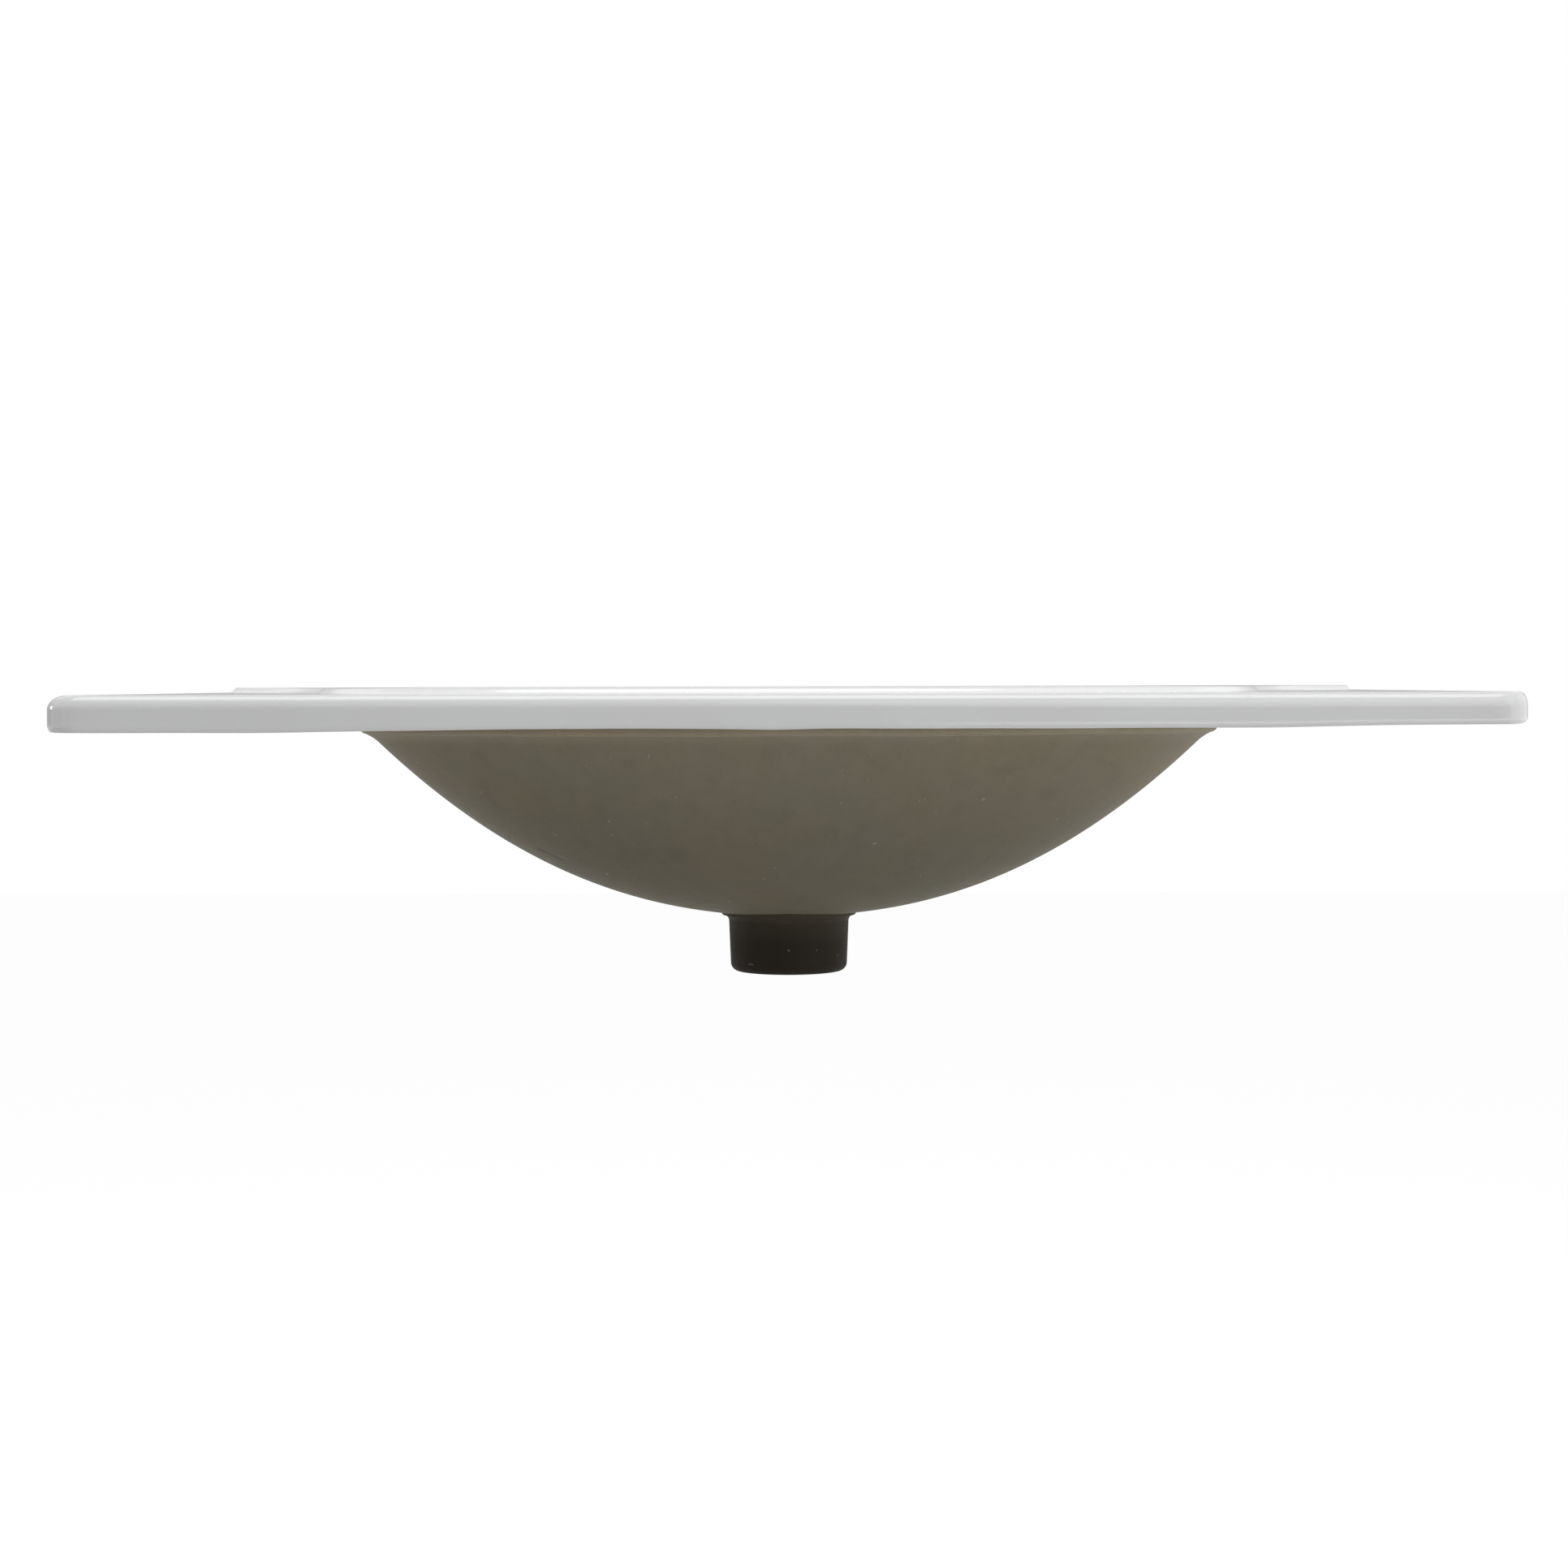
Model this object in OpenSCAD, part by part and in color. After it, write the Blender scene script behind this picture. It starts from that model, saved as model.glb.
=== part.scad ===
// Vanity top with an oval sink: slip-cast ware with a raised surround, an outlet boss and an overflow.
// The origin is on the outlet's axis, at the seat for the waste flange. +Z is up and the front faces -Y.

/* [Deck] */
// Width of the deck from end to end
deck_w = 787; // [720:1:860]
// Depth of the deck from front to back
deck_d = 483; // [470:1:540]
// Height of the edge from the skirt's foot to the deck's face
edge_h = 19; // [16:0.5:21]
// Thickness of the deck plate inside the skirt
plate_t = 13.5; // [11:0.5:15]
// Width of the turned-down skirt
skirt_w = 14; // [10:0.5:18]
// Rounding along the upper edge
edge_r = 6; // [3:0.5:8]
// Rounding along the skirt's foot
foot_r = 2; // [1:0.5:3]
// Rounding of the front corners, seen from above
corner_r = 18; // [12:1:30]
// Rounding of the skirt's inner corners
pocket_r = 4; // [2:0.5:8]
// Distance from the front edge to the outlet's axis
outlet_y = 222; // [215:1:230]

/* [Surround] */
// Height of the raised surround over the deck's face
rim_h = 3.2; // [2.6:0.2:6]
// Width of the ramp from the deck's face up to the surround's top
ramp_w = 5; // [4:0.5:10]
// Width of the surround beside the mouth, from the mouth to the ramp's foot
rim_w = 25; // [18:1:30]
// Step in from the deck's ends to the surround's back corners
end_step = 0.5; // [0.5:0.5:4]
// Power of the surround's swing from beside the mouth to its back corners
swing_power = 2.5; // [2:0.1:3]
// Rounding of the mouth's lip
lip_r = 2; // [1:0.5:3]

/* [Bowl] */
// Width over the bowl's outer curve, where it would reach the deck's face
bowl_w = 545; // [500:1:570]
// Depth over the bowl's outer curve, where it would reach the deck's face
bowl_d = 346; // [320:1:355]
// Drop from the deck's face to the lowest point of the bowl's outer curve
bowl_h = 133.5; // [120:0.5:150]
// Thickness of the bowl's wall
wall = 12; // [10:0.5:14]
// Thickness of the bowl's floor
floor_t = 13; // [11:0.5:16]
// Power of the bowl's curve from side to side
curve_w = 2.25; // [2:0.05:2.8]
// Power of the bowl's curve from front to back
curve_d = 2.6; // [2.2:0.1:3]
// Squareness of the oval seen from above, where 2 is an ellipse
oval = 2.3; // [2:0.1:2.8]

/* [Flange and collar] */
// Drop from the deck's face to the underside of the bowl's flange
flange_drop = 23.5; // [21:0.5:27]
// Width that the bowl's wall flares out to its flange
flare_w = 3; // [2:0.5:8]
// Height of the flare under the flange
flare_h = 6; // [5:0.5:12]
// Power of the flare's curve
flare_power = 2.5; // [1.5:0.5:4]
// Width of the collar round the flange
collar_w = 2.5; // [2.5:0.5:6]
// Rounding of the collar's lower edge
collar_r = 2; // [1:0.5:2]

/* [Outlet] */
// Radius of the waste bore
drain_r = 22.5; // [20:0.5:25]
// Radius of the recess for the waste flange
seat_r = 32; // [30:0.5:34]
// Depth of that recess under the bowl's floor
seat_h = 3; // [2:0.5:4]
// Radius of the outlet boss at its foot
boss_r = 35; // [33:0.5:40]
// Growth of the boss's radius from foot to top
boss_taper = 1; // [0:0.5:3]
// Length of the boss under the bowl
boss_h = 34; // [30:0.5:45]
// Rounding of the boss's foot
boss_round = 5; // [3:0.5:8]
// Fillet between boss and bowl
boss_fillet = 4; // [2:0.5:6]

/* [Overflow] */
// Drop from the deck's face to the middle of the overflow hole
overflow_drop = 38.5; // [36:0.5:43]
// Radius of the overflow hole
overflow_r = 12; // [10:0.5:13]
// Depth of the flat seat round the overflow hole
ring_seat = 1.5; // [1:0.25:2]
// Radius of the trim ring's flange
ring_r = 16; // [15:0.5:18]
// Thickness of the trim ring's flange
ring_t = 2.5; // [2:0.25:3]
// Thickness of the trim ring's sleeve
ring_wall = 2; // [1.5:0.25:2.5]
// Length of the trim ring's sleeve
ring_h = 9; // [6:0.5:10]
// Bevel on the edges of the trim ring's flange
ring_bevel = 1; // [0.5:0.25:1.5]
// Clearance round the trim ring
ring_gap = 0.2; // [0.1:0.05:0.3]
// Width of the overflow channel
duct_w = 30; // [26:1:34]
// Height of the overflow channel over the bowl's back
duct_gap = 11; // [9:0.5:13]
// Wall of the overflow channel
duct_wall = 7; // [6:0.5:9]
// Width of the slot from the channel into the waste bore
slot_w = 20; // [16:1:24]

/* [Tap hole] */
// Radius of the tap hole
tap_r = 17.5; // [16:0.5:19]
// Distance from the back edge to the tap hole's axis
tap_y = 45; // [42:1:50]

/* [Ribs] */
// Width of a rib where it meets the plate
rib_w = 16; // [12:1:20]
// Height of the skirt's foot under the ribs' feet
rib_lift = 1; // [0.5:0.5:2]
// Draft on each side of a rib
rib_draft = 2; // [1:0.5:3]

/* [Hidden] */
$fn = 96;
// Cutters reach this far past the faces that they cut
past = 2;
// Steps round an oval, up a wall and along the surround's back
oval_steps = 56;
wall_steps = 11;
back_steps = 8;
// Steps round a large edge, round a small one and up a ramp, a lip or a flare
round_steps = 5;
edge_steps = 2;
ramp_steps = 4;
flare_steps = 3;

// Heights, from the seat for the waste flange up
inner_low = seat_h;
outer_low = inner_low - floor_t;
deck_z = outer_low + bowl_h;
foot_z = deck_z - edge_h;
plate_z = deck_z - plate_t;
flange_z = deck_z - flange_drop;
top_z = deck_z + rim_h;
boss_z = outer_low - boss_h;

// Places from front to back, and the inner faces of the skirt
front_y = -outlet_y;
back_y = deck_d - outlet_y;
tap_line = back_y - tap_y;
inner_x = deck_w / 2 - skirt_w;

// Half sizes of the bowl's two curves where they reach the deck's face
outer_a = bowl_w / 2;
outer_b = bowl_d / 2;
inner_a = outer_a - wall / cos(atan(outer_a / curve_w / bowl_h));
inner_b = outer_b - wall / cos(atan(outer_b / curve_d / bowl_h));
inner_h = deck_z - inner_low;

function rise(low, h, z, power) = pow(max(z - low, 0) / h, 1 / power);
function inner_x_at(z) = inner_a * rise(inner_low, inner_h, z, curve_w);
function inner_y_at(z) = inner_b * rise(inner_low, inner_h, z, curve_d);
function flare(z) = flare_w * pow(max(0, z - flange_z + flare_h) / flare_h, flare_power);
function outer_x_at(z) = outer_a * rise(outer_low, bowl_h, z, curve_w) + flare(z);
function outer_y_at(z) = outer_b * rise(outer_low, bowl_h, z, curve_d) + flare(z);
flange_a = outer_x_at(flange_z);
flange_b = outer_y_at(flange_z);

// One oval ring of points at a height
function signed_pow(v, p) = sign(v) * pow(abs(v), p);
function oval_ring(a, b, z) = [for (i = [0:oval_steps - 1])
    let (t = 360 * i / oval_steps)
    [a * signed_pow(cos(t), 2 / oval), b * signed_pow(sin(t), 2 / oval), z]];
function inner_ring(z) = oval_ring(inner_x_at(z), inner_y_at(z), z);
function outer_ring(z) = oval_ring(outer_x_at(z), outer_y_at(z), z);

// The bowl's rings lie closer together near its floor and in its flare
function outer_rings() = [for (k = [1:wall_steps])
    outer_ring(outer_low + (flange_z - flare_h - outer_low) * pow(k / wall_steps, 2))];
function flare_rings() = [for (k = [1:flare_steps]) outer_ring(flange_z - flare_h * (1 - k / flare_steps))];
function flange_ring(z, out = 0) = oval_ring(flange_a + out, flange_b + out, z);
function inner_rings() = [for (k = [0:wall_steps - 1])
    inner_ring(inner_low + (plate_z - inner_low) * pow(1 - k / wall_steps, 2))];

// A closed solid through rings of equally many points, with a flat face on the first and the last
module loft(rings) {
    n = len(rings[0]);
    last = (len(rings) - 1) * n;
    points = [for (ring = rings, p = ring) p];
    sides = [for (k = [0:len(rings) - 2], i = [0:n - 1], half = [0, 1])
        let (a = k * n + i, b = k * n + (i + 1) % n)
        half == 0 ? [a, a + n, b + n] : [a, b + n, b]];
    bottom = [for (i = [0:n - 1]) i];
    top = [for (i = [n - 1:-1:0]) last + i];
    polyhedron(points, concat([bottom], sides, [top]));
}

// A closed band through rings of equally many points, where the last ring joins the first
module band(rings) {
    n = len(rings[0]);
    total = len(rings) * n;
    points = [for (ring = rings, p = ring) p];
    sides = [for (k = [0:len(rings) - 1], i = [0:n - 1], half = [0, 1])
        let (a = k * n + i, b = k * n + (i + 1) % n, c = (a + n) % total, d = (b + n) % total)
        half == 0 ? [a, c, d] : [a, d, b]];
    polyhedron(points, sides);
}

// The deck's outline, drawn in by a distance on the front and the ends but not at the back
function deck_ring(inset, z) = let (x = deck_w / 2 - corner_r, y = front_y + corner_r, r = corner_r - inset)
    concat(
        [[deck_w / 2 - inset, back_y, z], [inset - deck_w / 2, back_y, z]],
        [for (i = [0:round_steps]) let (t = 180 + 90 * i / round_steps) [r * cos(t) - x, r * sin(t) + y, z]],
        [for (i = [0:round_steps]) let (t = 270 + 90 * i / round_steps) [r * cos(t) + x, r * sin(t) + y, z]]
    );

module skirt_pocket() {
    r = pocket_r;
    pocket_d = deck_d - 2 * skirt_w;
    translate([0, front_y + skirt_w, foot_z - past])
        linear_extrude(plate_z - foot_z + past) {
            translate([-inner_x, r]) square([2 * inner_x, pocket_d - 2 * r]);
            translate([r - inner_x, 0]) square([2 * inner_x - 2 * r, pocket_d]);
            for (x = [r - inner_x, inner_x - r], y = [r, pocket_d - r]) translate([x, y]) circle(r);
        }
}

module mouth() {
    loft(concat(
        [oval_ring(inner_x_at(plate_z), inner_y_at(plate_z), plate_z - past)],
        [for (k = [0:flare_steps]) inner_ring(plate_z + plate_t * k / flare_steps)],
        [oval_ring(inner_x_at(deck_z), inner_y_at(deck_z), deck_z + past)]
    ));
}

module tap_hole() {
    translate([0, tap_line, plate_z - past]) cylinder(r = tap_r, h = top_z - plate_z + 2 * past);
}

module deck() {
    foot = [for (i = [0:edge_steps]) let (t = 90 * i / edge_steps)
        deck_ring(foot_r * (1 - sin(t)), foot_z + foot_r * (1 - cos(t)))];
    head = [for (i = [0:round_steps]) let (t = 90 * i / round_steps)
        deck_ring(edge_r * (1 - cos(t)), deck_z - edge_r * (1 - sin(t)))];
    color([0.93, 0.94, 0.94])
        difference() {
            loft(concat(foot, head));
            skirt_pocket();
            mouth();
            tap_hole();
        }
}

// The surround's outline: half an oval in front of the outlet, then sides that swing out to the back corners
rim_a = inner_x_at(deck_z) + rim_w;
rim_b = inner_y_at(deck_z) + rim_w;
swing = deck_w / 2 - edge_r - end_step - rim_a;
function side_point(inset, k) = let (s = k / back_steps)
    [rim_a - inset + swing * pow(s, swing_power), back_y * s];
function surround_outline(inset) = concat(
    [for (k = [0:back_steps]) side_point(inset, k)],
    [for (k = [1:2 * back_steps - 1]) [side_point(inset, back_steps)[0] * (1 - k / back_steps), back_y]],
    [for (k = [back_steps:-1:0]) let (p = side_point(inset, k)) [-p[0], p[1]]],
    [for (i = [1:oval_steps / 2 - 1]) let (t = 180 + 360 * i / oval_steps)
        [(rim_a - inset) * signed_pow(cos(t), 2 / oval), (rim_b - inset) * signed_pow(sin(t), 2 / oval)]]
);
function oval_reach(a, b, t) = 1 / pow(pow(abs(cos(t)) / a, oval) + pow(abs(sin(t)) / b, oval), 1 / oval);
function mouth_point(p, out, z) = let (t = atan2(p[1], p[0]),
    r = oval_reach(inner_x_at(deck_z) + out, inner_y_at(deck_z) + out, t)) [r * cos(t), r * sin(t), z];

module surround() {
    base = surround_outline(0);
    ramp = [for (k = [0:ramp_steps]) let (s = k / ramp_steps, z = deck_z + rim_h * s * s * (3 - 2 * s))
        [for (p = surround_outline(ramp_w * s)) [p[0], p[1], z]]];
    r = min(lip_r, rim_h / 2);
    lip = [for (k = [ramp_steps:-1:0]) let (t = 90 * k / ramp_steps)
        [for (p = base) mouth_point(p, r * (1 - cos(t)), top_z - r * (1 - sin(t)))]];
    foot = [for (p = base) mouth_point(p, 0, deck_z)];
    color([0.95, 0.96, 0.96])
        difference() {
            band(concat(ramp, lip, [foot]));
            tap_hole();
        }
}

// The overflow hole's place on the bowl's inner wall at the back, and the wall's lean there
overflow_z = deck_z - overflow_drop;
overflow_y = inner_y_at(overflow_z);
overflow_lean = atan(overflow_y / curve_d / (overflow_z - inner_low));
module at_overflow() {
    translate([0, overflow_y, overflow_z]) rotate([90 - overflow_lean, 0, 0]) children();
}

module bowl_outside() {
    loft(concat(outer_rings(), flare_rings(), [flange_ring(plate_z)]));
}

module bowl() {
    color([0.42, 0.4, 0.34])
        difference() {
            loft(concat(outer_rings(), flare_rings(), [flange_ring(plate_z)], inner_rings()));
            translate([0, 0, outer_low - past]) cylinder(r = drain_r, h = floor_t + 2 * past);
            cylinder(r = seat_r, h = seat_h + floor_t);
            at_overflow() {
                translate([0, 0, -ring_seat]) cylinder(r = ring_r + ring_gap, h = wall);
                translate([0, 0, -2 * wall]) cylinder(r = overflow_r, h = 2 * wall);
            }
        }
}

module bowl_collar() {
    corner = [for (i = [0:edge_steps]) let (t = 90 * i / edge_steps)
        flange_ring(flange_z + collar_r * (1 - cos(t)), collar_w - collar_r * (1 - sin(t)))];
    color([0.46, 0.44, 0.38])
        band(concat([flange_ring(plate_z, collar_w), flange_ring(plate_z), flange_ring(flange_z)], corner));
}

module boss_outside() {
    boss_top = outer_low + 2 * boss_fillet;
    rotate_extrude()
        polygon(concat(
            [[0, boss_z]],
            [for (i = [0:round_steps]) let (t = -90 + 90 * i / round_steps)
                [boss_r - boss_round + boss_round * cos(t), boss_z + boss_round + boss_round * sin(t)]],
            [for (i = [0:round_steps]) let (t = 90 * i / round_steps)
                [boss_r + boss_taper + boss_fillet * (1 - cos(t)), outer_low - boss_fillet * (1 - sin(t))]],
            [[boss_r + boss_taper + boss_fillet, boss_top], [0, boss_top]]
        ));
}

module drain_boss() {
    color([0.16, 0.14, 0.1])
        difference() {
            boss_outside();
            bowl_outside();
            translate([0, 0, boss_z - past]) cylinder(r = drain_r, h = boss_h + floor_t + 2 * past);
            translate([-slot_w / 2, 0, outer_low - duct_gap]) cube([slot_w, 2 * boss_r, duct_gap + past]);
        }
}

// The bowl's back in side view, moved out from its wall by a distance. The channel starts beside the waste
// bore and ends just above the overflow hole, and its sides reach halfway into the wall before it cuts them.
function back_point(y, out) = let (
    z = outer_low + bowl_h * pow(y / outer_b, curve_d),
    lean = atan(curve_d * bowl_h / outer_b * pow(y / outer_b, curve_d - 1)))
    [y + out * sin(lean), z - out * cos(lean)];
function back_strip(y0, y1, out) = concat(
    [for (k = [0:wall_steps]) back_point(y0 + (y1 - y0) * k / wall_steps, out)],
    [for (k = [wall_steps:-1:0]) back_point(y0 + (y1 - y0) * k / wall_steps, -wall / 2)]
);
duct_low = drain_r + wall / 2;
channel_top = overflow_y + wall * cos(overflow_lean) + overflow_r * sin(overflow_lean);

module duct_strip(width, y1, out) {
    translate([-width / 2, 0, 0])
        rotate([90, 0, 90])
            linear_extrude(width)
                polygon(back_strip(duct_low, y1, out));
}

module overflow_duct() {
    color([0.4, 0.38, 0.32])
        difference() {
            duct_strip(duct_w + 2 * duct_wall, channel_top + duct_wall / 2, duct_gap + duct_wall);
            duct_strip(duct_w, channel_top, duct_gap);
            bowl_outside();
            boss_outside();
        }
}

module overflow_ring() {
    sleeve_r = overflow_r - ring_gap;
    flange_h = ring_t - ring_seat;
    color([0.8, 0.81, 0.82])
        at_overflow()
            rotate_extrude()
                polygon([
                    [sleeve_r - ring_wall, -ring_seat - ring_h],
                    [sleeve_r, -ring_seat - ring_h],
                    [sleeve_r, -ring_seat],
                    [ring_r, -ring_seat],
                    [ring_r, flange_h - ring_bevel],
                    [ring_r - ring_bevel, flange_h],
                    [sleeve_r - ring_wall + ring_bevel, flange_h],
                    [sleeve_r - ring_wall, flange_h - ring_bevel]
                ]);
}

// One rib from the front skirt to the back skirt, halfway between the collar and the end skirt
rib_x = (flange_a + collar_w + inner_x) / 2;
rib_h = edge_h - plate_t - rib_lift;
module rib(side) {
    color([0.9, 0.91, 0.9])
        translate([side * rib_x, back_y - skirt_w, plate_z])
            rotate([90, 0, 0])
                linear_extrude(deck_d - 2 * skirt_w)
                    polygon([
                        [-rib_w / 2, 0],
                        [rib_draft - rib_w / 2, -rib_h],
                        [rib_w / 2 - rib_draft, -rib_h],
                        [rib_w / 2, 0]
                    ]);
}
module left_rib() { rib(-1); }
module right_rib() { rib(1); }

deck();
surround();
bowl();
bowl_collar();
drain_boss();
overflow_duct();
overflow_ring();
left_rib();
right_rib();
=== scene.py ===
from math import atan, copysign, cos, exp, pi, radians, sin

import bmesh
import bpy
from mathutils import Matrix, Vector


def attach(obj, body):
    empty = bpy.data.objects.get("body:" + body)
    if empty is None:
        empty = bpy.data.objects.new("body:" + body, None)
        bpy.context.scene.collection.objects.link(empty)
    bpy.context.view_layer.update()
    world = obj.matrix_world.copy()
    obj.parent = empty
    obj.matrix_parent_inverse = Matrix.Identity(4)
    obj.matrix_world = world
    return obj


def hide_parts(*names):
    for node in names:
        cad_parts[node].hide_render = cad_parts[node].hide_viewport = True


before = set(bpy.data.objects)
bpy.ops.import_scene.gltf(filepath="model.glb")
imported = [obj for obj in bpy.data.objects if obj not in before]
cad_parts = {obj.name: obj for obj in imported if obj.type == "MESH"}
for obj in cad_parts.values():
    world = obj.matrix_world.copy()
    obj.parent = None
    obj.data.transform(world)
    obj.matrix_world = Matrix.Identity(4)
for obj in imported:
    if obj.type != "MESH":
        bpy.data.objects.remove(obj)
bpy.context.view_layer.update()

scene = bpy.context.scene

# Deck: the slab of the vanity top, cast with a rolled upper edge, a turned-down skirt, the basin's
# mouth and the tap hole. White glaze covers its face and edges, and the body inside the skirt is
# left bare. In the fire the foot drew up a little towards the right end.
deck_w, edge_h, plate_t, skirt_w = 0.787, 0.019, 0.0135, 0.014
front_y, back_y, deck_z = -0.222, 0.261, 0.1235
foot_z, plate_z = deck_z - edge_h, deck_z - plate_t
edge_r, roll_h, roll_left, roll_right, roll_end = 0.006, 0.0078, 0.004, 0.002, 0.0008
foot_r, foot_in, foot_h, foot_left, foot_right = 0.002, 0.0012, 0.0042, 0.0008, -0.0033
flat_low, flat_high = foot_z + foot_h + 0.001, deck_z - roll_h - 0.0005
corner_r, back_r, pocket_r, pocket_fillet = 0.018, 0.0025, 0.004, 0.003
front_steps, side_steps, back_steps, corner_steps, nick_steps = 150, 40, 100, 14, 4
end_start, end_run = 0.35, 0.035
tap_r, tap_line, tap_lip, tool_under, tool_over = 0.0175, 0.216, 0.0008, 0.004, 0.01

# The ovals' power, where 2 is an ellipse, and the basin's floor, half sizes and wall curves
oval = 2.3
inner_low, inner_a, inner_b, curve_w, curve_d = 0.003, 0.256298, 0.159592, 2.25, 2.6

# The warp of the foot: rises by height, start and run, waves by height, turns and phase, and humps
# by height, middle and spread
foot_sag = 0.0009
foot_rises = ((0.00135, -0.3, 0.18), (0.0014, 0.25, 0.08))
foot_waves = ((0.0001, 31, 1), (0.00006, 74, 0))
foot_humps = ((0.0004, -0.095, 0.04), (-0.0005, -0.004, 0.02))

glaze_white, glaze_shade = (0.79, 0.8, 0.8, 1), (0.75, 0.755, 0.75, 1)
pinhole_grey, glaze_ior, glaze_t = (0.5, 0.48, 0.43, 1), 1.52, 0.0002
glazed_in, glazed_wander, glazed_fade = 0.0105, 0.004, 0.0006
under_start, under_fade = 0.00005, 0.00004
body_olive, body_brown = (0.27, 0.235, 0.17, 1), (0.2, 0.17, 0.12, 1)
warm_patch, cool_patch = (1.05, 0.99, 0.88, 1), (0.95, 1.01, 0.99, 1)
dark_mottle, light_mottle, tint_share = (0.9, 0.9, 0.88, 1), (1.07, 1.07, 1.06, 1), 0.6
iron_speck, pale_crumb = (0.03, 0.024, 0.018, 1), (0.4, 0.37, 0.31, 1)


def towards(point, goal, share):
    """The place a share of the way from one point to another."""
    return tuple(a + (b - a) * share for a, b in zip(point, goal))


def stroke(start, end, steps):
    """Points from start towards end, without the end."""
    return [towards(start, end, i / steps) for i in range(steps)]


def corner(x, y, radius, start, steps):
    """Points of a quarter circle round (x, y) from an angle on, without the last."""
    angles = [radians(start + 90 * i / steps) for i in range(steps)]
    return [(x + radius * cos(t), y + radius * sin(t)) for t in angles]


def deck_outline(inset, back_inset, r_back):
    """The deck from above, drawn in from its edges, anticlockwise from its front left corner."""
    w, low, high, r = deck_w / 2 - inset, front_y + inset, back_y - back_inset, corner_r - inset
    return (stroke((r - w, low), (w - r, low), front_steps)
            + corner(w - r, low + r, r, -90, corner_steps)
            + stroke((w, low + r), (w, high - r_back), side_steps)
            + corner(w - r_back, high - r_back, r_back, 0, nick_steps)
            + stroke((w - r_back, high), (r_back - w, high), back_steps)
            + corner(r_back - w, high - r_back, r_back, 90, nick_steps)
            + stroke((-w, high - r_back), (-w, low + r), side_steps)
            + corner(r - w, low + r, r, 180, corner_steps))


def basin(z, out=0):
    """Half width and half depth of the basin's inner wall at a height."""
    share = max(z - inner_low, 0) / (deck_z - inner_low)
    return inner_a * share ** (1 / curve_w) + out, inner_b * share ** (1 / curve_d) + out


def on_oval(point, half):
    """The point of an oval in the same direction from its middle."""
    x, y = point
    reach = ((abs(x) / half[0]) ** oval + (abs(y) / half[1]) ** oval) ** (-1 / oval)
    return x * reach, y * reach


def ease(t):
    """0 up to 0, 1 from 1 on, and a soft rise between."""
    t = min(max(t, 0), 1)
    return t * t * (3 - 2 * t)


def drawn_up(x):
    """How far the foot of the skirt lies above its mean height at a place along the deck."""
    rise = sum(height * ease((x - start) / run) for height, start, run in foot_rises)
    wave = sum(height * sin(turns * x + phase) for height, turns, phase in foot_waves)
    hump = sum(height * exp(-((x - middle) / spread) ** 2)
               for height, middle, spread in foot_humps)
    return rise + wave + hump - foot_sag


def ends(points, left, right):
    """Moves the left and the right end of a ring to the right by two distances."""
    def moved(x):
        near_left, near_right = (-x - end_start) / end_run, (x - end_start) / end_run
        return x + left * ease(near_left) + right * ease(near_right)
    return [(moved(x), y) for x, y in points]


def level(points, z, fade_z=None):
    """A ring at a height. Below fade_z it follows the warp of the foot more and more."""
    share = min(max((fade_z - z) / (fade_z - foot_z), 0), 1) if fade_z else 0
    return [(x, y, z + share * drawn_up(x)) for x, y in points]


def quarter(steps):
    """Angles from 0 to 90 degrees, both ends among them."""
    return [radians(90 * i / steps) for i in range(steps + 1)]


def placed(name, mesh):
    """A new piece with its mesh, in the scene."""
    piece = bpy.data.objects.new(name, mesh)
    scene.collection.objects.link(piece)
    return piece


def skin(name, rings, capped=False):
    """A closed piece through rings of equally many points, in order up the outside, in over the
    top, down the inside and out underneath. The last ring joins the first, or both are capped."""
    n, total = len(rings[0]), len(rings) * len(rings[0])
    faces = [(k * n + i, k * n + (i + 1) % n,
              ((k + 1) * n + (i + 1) % n) % total, ((k + 1) * n + i) % total)
             for k in range(len(rings) - capped) for i in range(n)]
    if capped:
        faces += [tuple(range(n - 1, -1, -1)), tuple(range(total - n, total))]
    mesh = bpy.data.meshes.new(name)
    mesh.from_pydata([p for ring in rings for p in ring], [], faces)
    return placed(name, mesh)


def settled(piece):
    """Turns what the modifiers make into the piece's own mesh."""
    piece.update_tag()
    bpy.context.view_layer.update()
    made = piece.evaluated_get(bpy.context.evaluated_depsgraph_get())
    mesh = bpy.data.meshes.new_from_object(made)
    piece.modifiers.clear()
    piece.data = mesh
    return piece


def cut(piece, tool):
    """Cuts a closed tool out of a piece and takes the tool away."""
    step = piece.modifiers.new("cut", "BOOLEAN")
    step.operation, step.solver, step.object = "DIFFERENCE", "EXACT", tool
    settled(piece)
    bpy.data.objects.remove(tool)


def smoothed(piece, angle=32):
    """Shades a piece smooth, but for edges sharper than an angle in degrees."""
    piece.data.shade_smooth()
    piece.data.set_sharp_from_angle(angle=radians(angle))


def turned(name, profile, place=Matrix(), steps=96, capped=False):
    """A turned form round the place's own upright axis, through (radius, height) pairs."""
    angles = [2 * pi * i / steps for i in range(steps)]
    rings = [[place @ Vector((r * cos(t), r * sin(t), z)) for t in angles] for r, z in profile]
    return skin(name, rings, capped)


def hole_tool(radius, lip, low, face):
    """A cutter for an upright hole whose upper lip is rounded into the face it comes out of."""
    edge = [(radius + lip * (1 - sin(t)), face - lip * (1 - cos(t))) for t in reversed(quarter(6))]
    return turned("hole_tool", [(radius, low)] + edge + [(radius + lip, face + tool_over)],
                  Matrix.Translation((0, tap_line, 0)), capped=True)


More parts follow.
